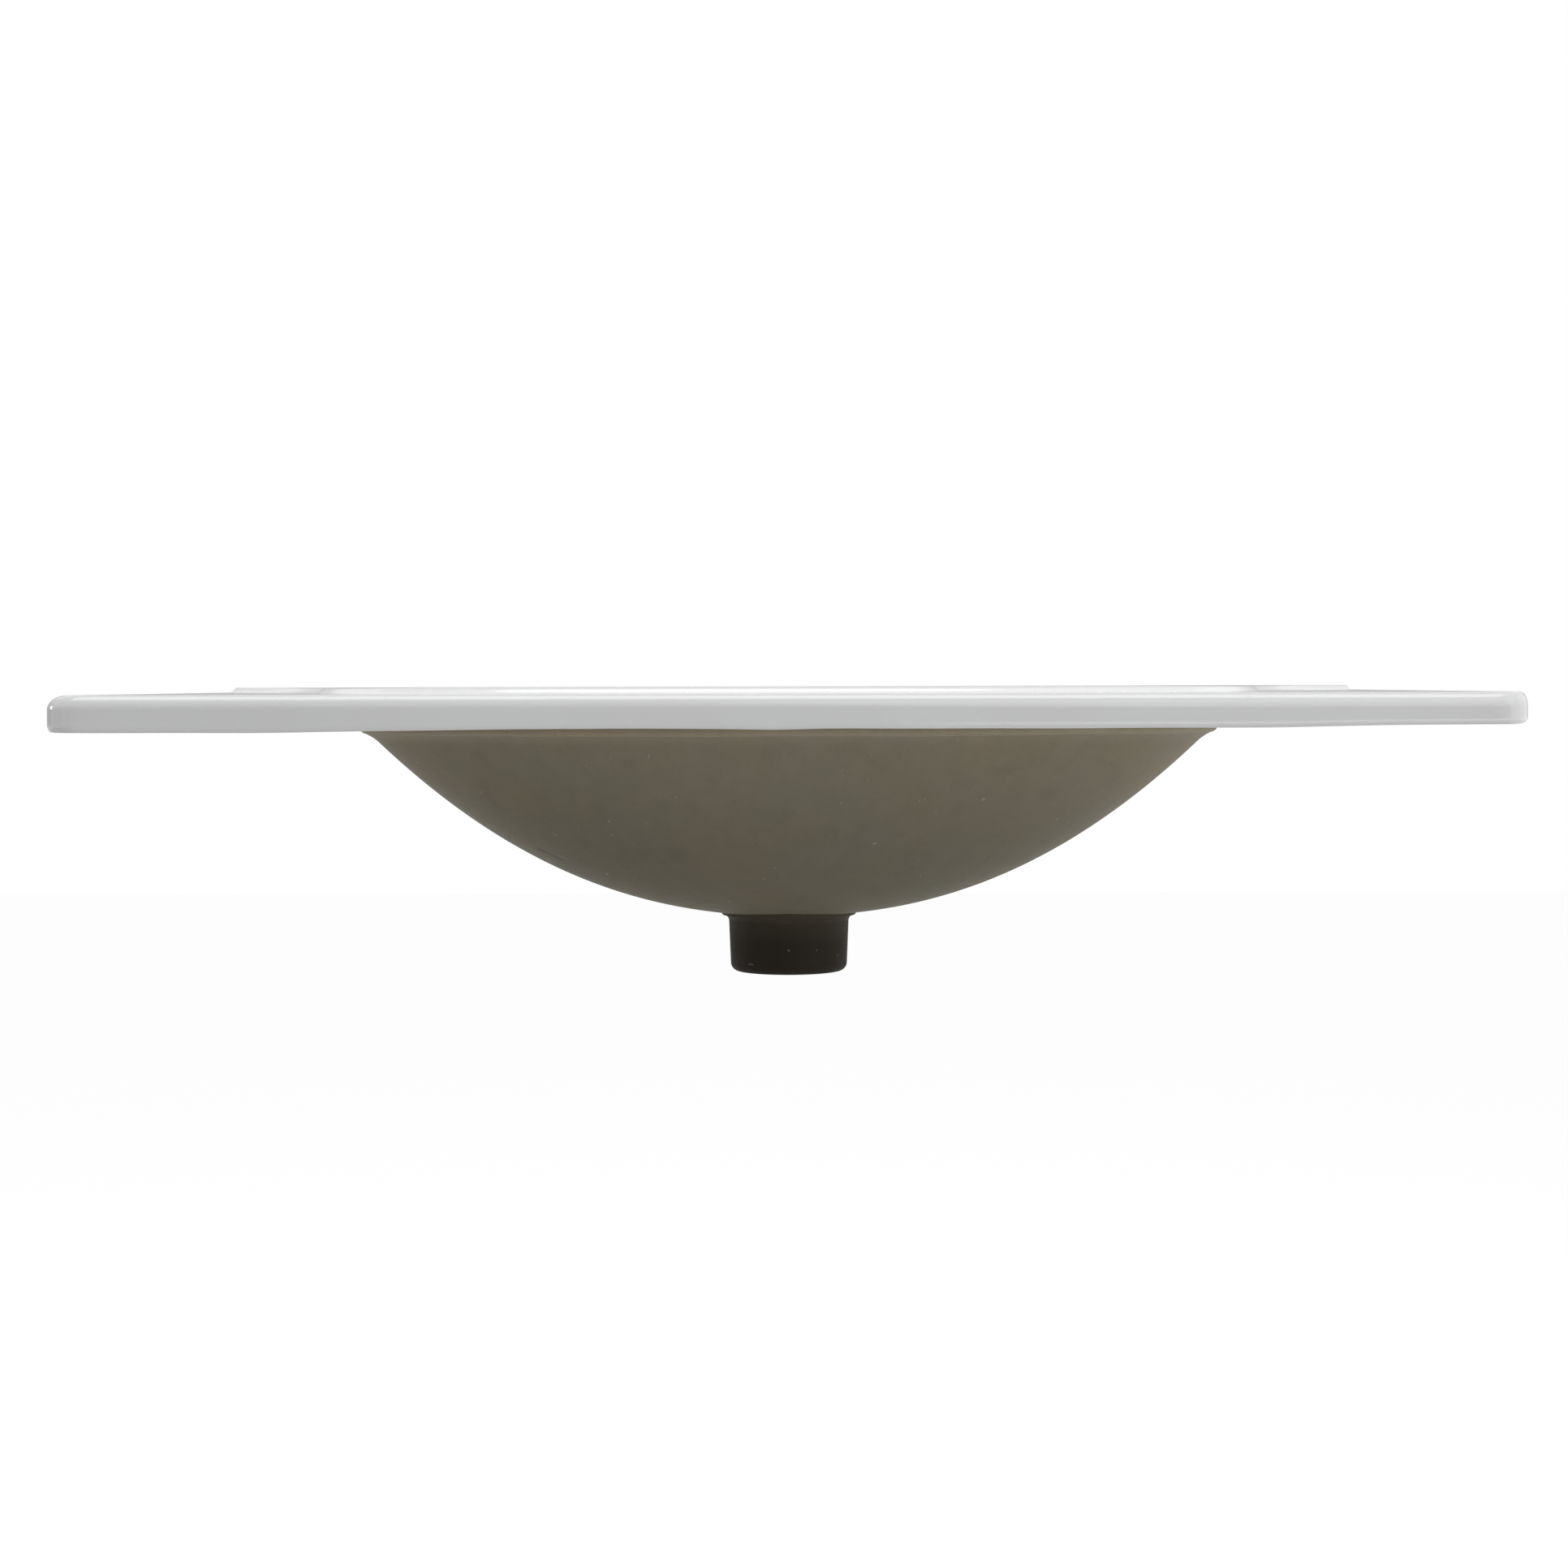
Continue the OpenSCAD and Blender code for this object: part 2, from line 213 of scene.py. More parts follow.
class Value:
    """One output of a node. Arithmetic on it adds Math nodes to the same tree."""

    def __init__(self, tree, socket):
        self.tree, self.socket = tree, socket

    def __getitem__(self, name):
        return Value(self.tree, self.socket.node.outputs[name])

    def math(self, operation, *others, first=None):
        terms = [self, *others] if first is None else [first, self]
        return self.tree.node("ShaderNodeMath", {"operation": operation}, dict(enumerate(terms)))

    def __add__(self, other):
        return self.math("ADD", other)

    def __sub__(self, other):
        return self.math("SUBTRACT", other)

    def __rsub__(self, other):
        return self.math("SUBTRACT", first=other)

    def __mul__(self, other):
        return self.math("MULTIPLY", other)

    def __truediv__(self, other):
        return self.math("DIVIDE", other)

    def __rtruediv__(self, other):
        return self.math("DIVIDE", first=other)

    def __pow__(self, other):
        return self.math("POWER", other)

    __radd__, __rmul__ = __add__, __mul__

    def clamped(self):
        return self.math("MAXIMUM", 0).math("MINIMUM", 1)

    def between(self, low, high):
        """0 below low, 1 above high and an even slope from one to the other."""
        return ((self - low) / (high - low)).clamped()


class Tree:
    """A node tree whose nodes are all made by one method."""

    def __init__(self, tree):
        self.tree = tree

    def node(self, kind, settings=(), sockets=()):
        """Makes a node from its type, its settings and the values or links of its sockets."""
        made = self.tree.nodes.new(kind)
        for name, value in dict(settings).items():
            setattr(made, name, value)
        inputs = [socket for socket in made.inputs if socket.enabled]
        for name, value in dict(sockets).items():
            by_place = isinstance(name, int)
            socket = inputs[name] if by_place else next(s for s in inputs if s.name == name)
            for one in value if isinstance(value, list) else [value]:
                if isinstance(one, Value):
                    self.tree.links.new(one.socket, socket)
                else:
                    socket.default_value = one
        outputs = [socket for socket in made.outputs if socket.enabled]
        return Value(self, outputs[0]) if outputs else made

    def mix(self, factor, a, b, blend="MIX"):
        return self.node("ShaderNodeMix", {"data_type": "RGBA", "blend_type": blend},
                         {"Factor": factor, "A": a, "B": b})

    def noise(self, spot, size, detail=2.0, roughness=0.5):
        """A cloudy pattern from 0 to 1 whose patches are about as large as size, in metres."""
        return self.node("ShaderNodeTexNoise", {}, {
            "Vector": spot, "Scale": 1 / size, "Detail": detail, "Roughness": roughness})

    def stretched(self, spot, along):
        """The same places, drawn out along the axes."""
        return self.node("ShaderNodeVectorMath", {"operation": "MULTIPLY"}, {0: spot, 1: along})

    def length(self, arrow):
        return self.node("ShaderNodeVectorMath", {"operation": "LENGTH"}, {0: arrow})["Value"]


class Finish(Tree):
    """A procedural material in the object's own coordinates."""

    def __init__(self, name):
        self.material = bpy.data.materials.new(name)
        self.material.use_nodes = True
        super().__init__(self.material.node_tree)
        self.tree.nodes.clear()
        self.spot = self.node("ShaderNodeTexCoord")["Object"]
        self.x = self.node("ShaderNodeSeparateXYZ", {}, {"Vector": self.spot})
        self.y, self.z = self.x["Y"], self.x["Z"]

    def bump(self, height, distance, normal=None):
        sockets = {"Height": height, "Distance": distance}
        if normal:
            sockets["Normal"] = normal
        return self.node("ShaderNodeBump", {}, sockets)

    def done(self, color, rough, normal, **steady):
        """Closes the material. What is the same all over is set on the shader's own sockets."""
        sockets = {"Base Color": color, "Roughness": rough, "Normal": normal}
        sockets.update({name.replace("_", " "): value for name, value in steady.items()})
        shader = self.node("ShaderNodeBsdfPrincipled", {}, sockets)
        self.node("ShaderNodeOutputMaterial", {}, {"Surface": shader})
        return self.material


def glaze_parts(finish):
    """White glaze: greyer where it lies thin, with a soft ripple, dimples and a few pinholes."""
    cloud = finish.noise(finish.spot, 0.11, 3)
    ripple = finish.noise(finish.spot, 0.035, 1)
    dimples = finish.noise(finish.spot, 0.0022, 1)
    pinholes = finish.noise(finish.spot, 0.0026, 0).between(0.83, 0.86)
    color = finish.mix(cloud.between(0.3, 0.75), glaze_shade, glaze_white)
    color = finish.mix(pinholes * 0.25, color, pinhole_grey)
    rough = 0.08 + ripple * 0.06 + pinholes * 0.3
    rippled = finish.bump(ripple, 0.00002)
    return color, rough, finish.bump(dimples - pinholes * 3.0, 0.000002, rippled)


def body_parts(finish, top, low, tone_z=(0.1, 0.0), bend=1):
    """Bare vitrified body under a thin wash: toned from top to low with the height, mottled in
    patches, streaked where the wash ran, and peppered with dark iron specks and pale crumbs."""
    spot = finish.spot
    patches = finish.noise(spot, 0.06, 4, 0.6)
    mottle = finish.noise(spot, 0.014, 4, 0.65)
    runs = finish.noise(finish.stretched(spot, (1, 1, 0.22)), 0.011, 3)
    grain = finish.noise(spot, 0.0011, 2)
    specks = finish.noise(spot, 0.0024, 1).between(0.74, 0.8)
    crumbs = finish.noise(finish.stretched(spot, (1.3, 1.1, 0.9)), 0.0046, 0).between(0.84, 0.86)
    # On the bowl, its channel, the collar and the boss this tone with height is painted light and
    # shade
    color = finish.mix(finish.z.between(tone_z[1], tone_z[0]) ** bend, low, top)
    tint = finish.mix(patches.between(0.34, 0.66), warm_patch, cool_patch)
    color = finish.mix(tint_share, color, tint, "MULTIPLY")
    streaks = (mottle * 0.7 + runs * 0.3).between(0.36, 0.62)
    tint = finish.mix(streaks, dark_mottle, light_mottle)
    color = finish.mix(tint_share, color, tint, "MULTIPLY")
    color = finish.mix(specks * 0.3, color, iron_speck)
    color = finish.mix(crumbs * 0.35, color, pale_crumb)
    rough = 0.5 + mottle * 0.22 + grain * 0.08
    bumps = finish.bump(grain, 0.00005, finish.bump(mottle, 0.0003, finish.bump(patches, 0.001)))
    return color, rough, finish.bump(crumbs - specks * 0.4, 0.0002, bumps)


rings = []
for t in quarter(7):
    out = 1 - sin(t)
    line = deck_outline(foot_in * out, foot_in * out, back_r)
    line = ends(line, foot_left * out, foot_right * out)
    rings.append(level(line, foot_z + foot_h * (1 - cos(t)), deck_z - roll_h))
rings += [level(deck_outline(0, 0, back_r), z, deck_z - roll_h) for z in (flat_low, flat_high)]
for t in quarter(12):
    turn = 1 - cos(t)
    line = ends(deck_outline(edge_r * turn, 0, back_r), roll_left * turn, roll_right * turn)
    rings.append(level(line, deck_z - roll_h * (1 - sin(t))))
top_line = ends(deck_outline(edge_r + roll_end, 0, back_r), roll_left, roll_right)
mouth_steps = 6
mouth = [deck_z - plate_t * k / mouth_steps for k in range(mouth_steps + 1)]
rings.append(level(top_line, deck_z))
rings += [level([on_oval(p, basin(z)) for p in top_line], z) for z in mouth]
inner = skirt_w + pocket_fillet
rings.append(level(deck_outline(inner, inner, pocket_r - pocket_fillet), plate_z))
for t in quarter(5)[1:]:
    r, z = pocket_fillet * (1 - sin(t)), plate_z - pocket_fillet + pocket_fillet * cos(t)
    rings.append(level(deck_outline(skirt_w + r, skirt_w + r, pocket_r - r), z, plate_z))
for t in quarter(4):
    r, z = foot_r * (1 - cos(t)), foot_z + foot_r - foot_r * sin(t)
    rings.append(level(deck_outline(skirt_w - r, skirt_w - r, pocket_r + r), z, plate_z))
deck = skin("glazed_deck", rings)
cut(deck, hole_tool(tap_r, tap_lip, plate_z - tool_under, deck_z))
smoothed(deck)

finish = Finish("deck_glaze")
glaze, body = glaze_parts(finish), body_parts(finish, body_olive, body_brown)
inside = (deck_w / 2 - finish.x.math("ABSOLUTE")).math("MINIMUM", finish.y - front_y)
inside = inside.math("MINIMUM", back_y - finish.y)
inside = inside + finish.noise(finish.spot, 0.012) * glazed_wander
under = (plate_z + under_start - finish.z).between(0, under_fade)
bare = (inside - glazed_in).between(-glazed_fade, glazed_fade) * under
color = finish.mix(bare, glaze[0], body[0])
rough = glaze[1] + bare * (body[1] - glaze[1])
normal = finish.bump(bare * -1.0, glaze_t, glaze[2])
deck.data.materials.append(finish.done(color, rough, normal, IOR=glaze_ior))
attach(deck, "root")
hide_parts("deck")

# Surround: the low raised part that keeps splashes in. It is a narrow rim round the front of the
# mouth and widens behind it to the tap ledge, which reaches the back corners. It is cast with the
# deck and glazed with it.
top_z, ramp_w, rim_w, end_step, swing_power = 0.1267, 0.005, 0.025, 0.0005, 2.5
lip_round, lip_in, back_round, crest_in, crest_share = 0.0022, 0.001, 0.0012, 0.0006, 0.06
sunk, tap_edge = 0.0002, 0.002
wing_steps, ledge_steps, rim_steps, ramp_steps = 48, 100, 160, 12
slope_painted_light, slope_start, slope_end = (0.91, 0.915, 0.91, 1), 0.0002, 0.0012
rim_a, rim_b = (half + rim_w for half in basin(deck_z))
swing = deck_w / 2 - edge_r - end_step - rim_a


def surround_line(inset):
    """The surround from above, drawn in at its sides and front, from the right of the mouth on."""
    sides = [(rim_a - inset + swing * (k / wing_steps) ** swing_power, back_y * k / wing_steps)
             for k in range(wing_steps + 1)]
    back = [(sides[-1][0] * (1 - 2 * k / ledge_steps), back_y) for k in range(1, ledge_steps)]
    front = []
    for k in range(1, rim_steps):
        x, y = -cos(pi * k / rim_steps), -sin(pi * k / rim_steps)
        front.append((copysign((rim_a - inset) * abs(x) ** (2 / oval), x),
                      -(rim_b - inset) * abs(y) ** (2 / oval)))
    return sides + back + [(-x, y) for x, y in reversed(sides)] + front


def ramp_ring(share):
    """A ring on the ramp. At the wall the ramp is upright and only its top edge is rounded."""
    z = deck_z + (top_z - deck_z) * ease(share)
    over = max(z - top_z + back_round, 0)
    drawn = back_round - (back_round ** 2 - over ** 2) ** 0.5
    points = [(x, min(y, back_y - drawn)) for x, y in surround_line(ramp_w * share)]
    return level(points, z if share else deck_z - sunk)


rings = [ramp_ring(k / ramp_steps) for k in range(ramp_steps + 1)]
crest = [towards(p, on_oval(p, basin(deck_z, lip_round)), crest_share)
         for p in surround_line(ramp_w)]
rings.append(level([(x, min(y, back_y - back_round - crest_in)) for x, y in crest], top_z))
lip = [(lip_round + lip_in, top_z)]
lip += [(lip_round * (1 - cos(t)), top_z - lip_round * (1 - sin(t))) for t in reversed(quarter(8))]
for out, z in lip + [(0, deck_z)]:
    rings.append(level([on_oval(p, basin(deck_z, out)) for p in surround_line(0)], z))
surround = skin("glazed_surround", rings)
cut(surround, hole_tool(tap_r, tap_edge, plate_z, top_z))
smoothed(surround)

finish = Finish("surround_glaze")
color, rough, normal = glaze_parts(finish)
# Painted light: the glaze below the crest, on the ramp and the lip, is paler
color = finish.mix((top_z - finish.z).between(slope_start, slope_end), color, slope_painted_light)
surround.data.materials.append(finish.done(color, rough, normal, IOR=glaze_ior))
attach(surround, "root")
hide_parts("surround")

# Bowl: the oval basin, cast as a shell of its own and stuck under the deck by the flange at its
# top. Outside it shows the body under a thin olive wash, and inside it carries a coat of the
# deck's white glaze.
outer_low, bowl_h, outer_a, outer_b, wall = -0.010, 0.1335, 0.2725, 0.173, 0.012
flange_z, flare_w, flare_h, flare_power = 0.100, 0.003, 0.006, 2.5
drain_r, bore_round, seat_r, seat_round, seat_foot = 0.0225, 0.0015, 0.032, 0.0015, 0.001
coat, coat_end = 0.0006, -0.007
overflow_drop, overflow_r, ring_seat, ring_r, ring_gap = 0.0385, 0.012, 0.0015, 0.016, 0.0002
bowl_round, bowl_steps, flare_steps, merged_within = 240, 60, 8, 0.000004

# How fast the ovals grow round towards the outlet, and over which share of the way up
blend, inner_turn, outer_turn = 4, 0.25, 0.14
floor_r = seat_r + seat_round
plate_share = (plate_z - inner_low) / (deck_z - inner_low)
flange_share = (flange_z - outer_low) / bowl_h

# The wash is paler at the top as painted light under the deck, and darker low down as painted shade
wash_painted_light_top, wash_painted_shade_low = (0.27, 0.24, 0.179, 1), (0.14, 0.124, 0.09, 1)
wash_dark, body_gloss = (0.06, 0.05, 0.036, 1), {"IOR": 1.5, "Specular_IOR_Level": 0.25}

# The scuff on the bowl's front: its upper end, its slope, its length and its half width
scuff_x, scuff_z, scuff_cos, scuff_sin = -0.147, 0.034, 0.9, 0.43
scuff_run, scuff_half = 0.021, 0.0011


def geometry_tree(name, sizes):
    """An empty tree with a named input for each size and one for the material."""
    group = bpy.data.node_groups.new(name, "GeometryNodeTree")
    for size in sizes:
        group.interface.new_socket(size, in_out="INPUT", socket_type="NodeSocketFloat")
    group.interface.new_socket("Finish", in_out="INPUT", socket_type="NodeSocketMaterial")
    group.interface.new_socket("Piece", in_out="OUTPUT", socket_type="NodeSocketGeometry")
    tree = Tree(group)
    return tree, tree.node("NodeGroupInput")


def ended(tree, given, geometry):
    """Closes a geometry tree: doubles merged, instances made real and the material set."""
    merged = tree.node("GeometryNodeMergeByDistance", {},
                       {"Geometry": geometry, "Distance": merged_within})
    real = tree.node("GeometryNodeRealizeInstances", {}, {"Geometry": merged})
    dressed = tree.node("GeometryNodeSetMaterial", {},
                        {"Geometry": real, "Material": given["Finish"]})
    tree.node("NodeGroupOutput", {}, {"Piece": dressed})


def grown(name, tree, sizes):
    """A piece that a geometry tree makes from its sizes, as a plain mesh."""
    piece = placed(name, bpy.data.meshes.new(name))
    growth = piece.modifiers.new("growth", "NODES")
    growth.node_group = tree.tree
    for item in tree.tree.interface.items_tree:
        if item.in_out == "INPUT":
            growth[item.identifier] = sizes[item.name]
    return settled(piece)


def unit_tube(tree, fill, around, steps):
    """A plain tube of radius and height 1 round the origin, and its points' coordinates."""
    tube = tree.node("GeometryNodeMeshCylinder", {"fill_type": fill}, {
        "Vertices": around, "Side Segments": steps, "Radius": 1, "Depth": 1})
    x = tree.node("ShaderNodeSeparateXYZ", {}, {"Vector": tree.node("GeometryNodeInputPosition")})
    return tube, x, x["Y"], x["Z"]


def bent(tree, tube, x, y, z):
    """Moves the points of a tube to new places."""
    place = tree.node("ShaderNodeCombineXYZ", {}, {"X": x, "Y": y, "Z": z})
    return tree.node("GeometryNodeSetPosition", {}, {"Geometry": tube, "Position": place})


def squared(x, power):
    """A coordinate on a circle, pushed out towards a square where the power is under 1."""
    return x.math("SIGN") * x.math("ABSOLUTE") ** power


def joined(tree, parts):
    return tree.node("GeometryNodeJoinGeometry", {}, {"Geometry": parts})


def sheet(tree, steps, shape):
    """One stretch of an oval wall. shape takes the share of the way along it and gives the half
    width, the half depth, the height and the oval's power there."""
    tube, x, y, z = unit_tube(tree, "NONE", bowl_round, steps)
    half_w, half_d, height, power = shape(z + 0.5)
    return bent(tree, tube, squared(x, 2 / power) * half_w, squared(y, 2 / power) * half_d, height)


def turned_sheets(tree, profile):
    """Round stretches through (radius, height) pairs."""
    def stretch(low, high):
        def shape(v):
            radius = v * (high[0] - low[0]) + low[0]
            return radius, radius, v * (high[1] - low[1]) + low[1], 2
        return sheet(tree, 1, shape)
    return [stretch(*pair) for pair in zip(profile, profile[1:])]


def halves(given, side, share, least):
    """Half width and half depth of the bowl's inner or outer side at a share of its height. They
    stay over a least radius, where the oval becomes a circle."""
    return [((given[side + half] * share ** (1 / power)) ** blend + least ** blend) ** (1 / blend)
            for half, power in ((" half width", curve_w), (" half depth", curve_d))]


def inner_sheet(tree, given, depth, down=True):
    """The basin's inner wall from the deck plate to the outlet's recess, or back up, moved out by
    a depth. Near the floor its ovals grow round and meet the recess."""
    def shape(v):
        up = 1 - v if down else v
        rise = up * up
        half_w, half_d = halves(given, "Inner", rise * plate_share, floor_r)
        z = rise * (plate_z - inner_low) + inner_low
        return (half_w + depth, half_d + depth, z - (1 - up) * depth,
                2 + up.between(0, inner_turn) * (oval - 2))
    return sheet(tree, bowl_steps, shape)


def recess_line(depth):
    """The outlet's recess in (radius, height) pairs, from the basin's floor into the bore."""
    line = [(seat_r + seat_round * (1 - sin(t)), inner_low - seat_round * (1 - cos(t)))
            for t in quarter(5)]
    line += [(seat_r - seat_foot * (1 - cos(t)), seat_foot * (1 - sin(t))) for t in quarter(3)]
    line += [(drain_r + bore_round * (1 - sin(t)), -bore_round * (1 - cos(t))) for t in quarter(4)]
    return [(r + depth, z - depth) for r, z in line + [(drain_r, coat_end)]]


def outside(z, power):
    """The bowl's outside at a height, with the flare under its flange."""
    half_w, half_d = halves(given, "Outer", (z - outer_low) / bowl_h, drain_r + coat)
    flare = ((z - flange_z + flare_h).math("MAXIMUM", 0) / flare_h) ** flare_power * flare_w
    return half_w + flare, half_d + flare, z, power


tree, given = geometry_tree("bowl shell", ["Inner half width", "Inner half depth",
                                           "Outer half width", "Outer half depth"])
low_h = flange_z - flare_h - outer_low
flange_w, flange_d = (half + flare_w
                      for half in halves(given, "Outer", flange_share, drain_r + coat))
neck_w, neck_d = (half + coat for half in halves(given, "Inner", plate_share, floor_r))
parts = [
    sheet(tree, bowl_steps, lambda v: outside(v * v * low_h + outer_low,
                                              2 + v.between(0, outer_turn) * (oval - 2))),
    sheet(tree, flare_steps, lambda v: outside(v * flare_h + flange_z - flare_h, oval)),
    sheet(tree, 2, lambda v: (flange_w, flange_d, v * (plate_z - flange_z) + flange_z, oval)),
    inner_sheet(tree, given, coat),
    sheet(tree, 1, lambda v: (flange_w + v * (neck_w - flange_w),
                              flange_d + v * (neck_d - flange_d), plate_z, oval))]
parts += turned_sheets(tree, recess_line(coat) + [(drain_r + coat, outer_low)])
ended(tree, given, joined(tree, parts))

finish = Finish("bowl_wash")
color, rough, normal = body_parts(finish, wash_painted_light_top, wash_painted_shade_low, bend=2)
from_x, from_z = finish.x - scuff_x, finish.z - scuff_z
off = (from_x * scuff_sin + from_z * scuff_cos).math("ABSOLUTE")
along = from_x * scuff_cos - from_z * scuff_sin
scuff = (scuff_half - off - finish.noise(finish.spot, 0.004) * 0.0004).between(0, 0.0006)
scuff = scuff * along.between(0, 0.003) * (scuff_run - along).between(0, 0.006) * 0.7
smudges = finish.noise(finish.stretched(finish.spot, (1, 1, 1.6)), 0.02, 3).between(0.6, 0.75) * 0.1
front_side = (finish.y * -1).between(0, 0.01)
color = finish.mix(scuff.math("MAXIMUM", smudges) * front_side, color, wash_dark)
bowl_finish = finish.done(color, rough, normal, **body_gloss)
sizes = {"Inner half width": inner_a, "Inner half depth": inner_b,
         "Outer half width": outer_a, "Outer half depth": outer_b}
bowl = grown("cast_bowl", tree, {**sizes, "Finish": bowl_finish})

overflow_z = deck_z - overflow_drop
overflow_y = basin(overflow_z)[1]
overflow_lean = atan(overflow_y / curve_d / (overflow_z - inner_low))
at_overflow = (Matrix.Translation((0, overflow_y, overflow_z))
               @ Matrix.Rotation(pi / 2 - overflow_lean, 4, "X"))


def overflow_tool():
    """A cutter for the overflow hole with the flat seat of its trim ring."""
    seat = ring_r + ring_gap
    line = [(overflow_r, -2 * wall), (overflow_r, -ring_seat), (seat, -ring_seat), (seat, wall)]
    return turned("overflow_tool", line, at_overflow, capped=True)


cut(bowl, overflow_tool())
smoothed(bowl)
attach(bowl, "root")
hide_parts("bowl")

# Bowl glaze: the white coat inside the basin, poured in and drained through the outlet. It runs
# from the deck over the whole inner wall into the outlet's recess and ends a little way down the
# bore.
basin_floor_h = 0.012
tree, given = geometry_tree("bowl glaze", ["Inner half width", "Inner half depth"])
neck_w, neck_d = halves(given, "Inner", plate_share, floor_r)
parts = [
    inner_sheet(tree, given, 0),
    inner_sheet(tree, given, coat, down=False),
    sheet(tree, 1, lambda v: (neck_w + (1 - v) * coat, neck_d + (1 - v) * coat, plate_z, oval))]
parts += turned_sheets(tree, recess_line(0) + recess_line(coat)[::-1])
ended(tree, given, joined(tree, parts))

finish = Finish("basin_glaze")
color, rough, normal = glaze_parts(finish)
# The glaze turns greyer towards the basin's floor
toward_basin_floor = (basin_floor_h - finish.z).between(0, basin_floor_h)
color = finish.mix(toward_basin_floor * 0.5, color, glaze_shade)
basin_finish = finish.done(color, rough, normal, IOR=glaze_ior)
bowl_glaze = grown("bowl_glaze", tree, {**sizes, "Finish": basin_finish})
cut(bowl_glaze, overflow_tool())
smoothed(bowl_glaze)
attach(bowl_glaze, "root")
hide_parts("bowl")

# Collar: a roll of soft body pressed round the joint of the bowl's flange and the deck, smoothed by
# finger and sponge, so its lower edge wanders a little. Its paler colour is painted light, and
# painted shade darkens its lower edge.
collar_w, collar_h, collar_wander = 0.0028, plate_z - flange_z, 0.0016
collar_line = [(0, 0), (0.1, -0.02), (0.34, 0.02), (0.58, 0.07), (0.78, 0.13), (0.92, 0.2),
               (0.98, 0.28), (1, 0.38), (1, 1), (0, 1), (0, 0)]
# Painted light for the strip and painted shade for its lower edge
collar_painted_light, collar_painted_shade = (0.4, 0.355, 0.265, 1), (0.33, 0.292, 0.218, 1)
flange_half = [half * flange_share ** (1 / power) + flare_w
               for half, power in ((outer_a, curve_w), (outer_b, curve_d))]
tree, given = geometry_tree("joint collar", ["Half width", "Half depth", "Width", "Height"])


def band_sheet(low, high):
    """A stretch of the band between two points of its section, in shares of width and height."""
    def shape(v):
        out = given["Width"] * (v * (high[0] - low[0]) + low[0])
        up = given["Height"] * (v * (high[1] - low[1]) + low[1])
        return given["Half width"] + out, given["Half depth"] + out, up + flange_z, oval
    return sheet(tree, 1, shape)


def bare_finish(name, top, low, tone_z=(0.1, 0.0), bend=1):
    """A finish of body or wash alone."""
    finish = Finish(name)
    return finish.done(*body_parts(finish, top, low, tone_z, bend), **body_gloss)


band = joined(tree, [band_sheet(*pair) for pair in zip(collar_line, collar_line[1:])])
spot = tree.node("GeometryNodeInputPosition")
z = tree.node("ShaderNodeSeparateXYZ", {}, {"Vector": spot})["Z"]
wander = (tree.noise(spot, 0.05, 2) - 0.5) * (plate_z - z).between(0, collar_h) * collar_wander
push = tree.node("ShaderNodeCombineXYZ", {}, {"Z": wander})
ended(tree, given, tree.node("GeometryNodeSetPosition", {}, {"Geometry": band, "Offset": push}))
collar = grown("joint_collar", tree, {
    "Half width": flange_half[0], "Half depth": flange_half[1],
    "Width": collar_w, "Height": collar_h,
    "Finish": bare_finish("collar_body", collar_painted_light, collar_painted_shade, (0.103, flange_z))})
smoothed(collar)
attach(collar, "root")
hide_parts("bowl_collar")

# Outlet boss: the short pipe under the bowl that takes the waste, turned with a rounded foot and
# stuck on with a fillet. Its dark colour is painted shade, deepest at its foot. The slot in its
# back lets the overflow run into the waste.
boss_r, boss_taper, boss_h, boss_round, boss_fillet = 0.035, 0.001, 0.034, 0.005, 0.004
slot_w, slot_reach, slot_over, duct_gap = 0.020, 0.066, 0.002, 0.011
hidden_w, hidden_h, taper_steps = 0.0025, 0.004, 4
tone_h, boss_foot_shade_h = 0.016, 0.012
painted_shade_boss_top, painted_shade_boss_low = (0.043, 0.036, 0.024, 1), (0.018, 0.0138, 0.009, 1)
painted_shadow_boss_foot = (0.012, 0.009, 0.006, 1)
boss_z, top_r = outer_low - boss_h, boss_r + boss_taper
profile = [(drain_r + bore_round * (1 - cos(t)), boss_z + bore_round * (1 - sin(t)))
           for t in quarter(4)]
profile += [(boss_r - boss_round * (1 - sin(t)), boss_z + boss_round * (1 - cos(t)))
            for t in quarter(10)]
profile += stroke((boss_r, boss_z + boss_round), (top_r, outer_low - boss_fillet), taper_steps)[1:]
profile += [(top_r + boss_fillet * (1 - cos(t)), outer_low - boss_fillet * (1 - sin(t)))
            for t in quarter(8)]
profile += [(top_r + boss_fillet + hidden_w, outer_low + hidden_h), (drain_r, outer_low + hidden_h)]
boss = turned("outlet_boss", profile, steps=128)
slot_mid = Matrix.Translation((0, slot_reach / 2, outer_low + (slot_over - duct_gap) / 2))
slot_size = Matrix.Diagonal((slot_w, slot_reach, duct_gap + slot_over, 1))
slot_mesh = bpy.data.meshes.new("slot_tool")
bm = bmesh.new()
bmesh.ops.create_cube(bm, size=1, matrix=slot_mid @ slot_size)
bm.to_mesh(slot_mesh)
bm.free()
cut(boss, placed("slot_tool", slot_mesh))
smoothed(boss)

finish = Finish("boss_wash")
# Painted shade: dark at the boss's top, darker downwards and darkest at its foot
color, rough, normal = body_parts(finish, painted_shade_boss_top, painted_shade_boss_low, (outer_low, outer_low - tone_h))
foot = (boss_z + boss_foot_shade_h - finish.z).between(0, boss_foot_shade_h)
color = finish.mix(foot * 0.5, color, painted_shadow_boss_foot)
boss.data.materials.append(finish.done(color, rough, normal, IOR=1.5, Specular_IOR_Level=0.12))
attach(boss, "root")
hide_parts("drain_boss")

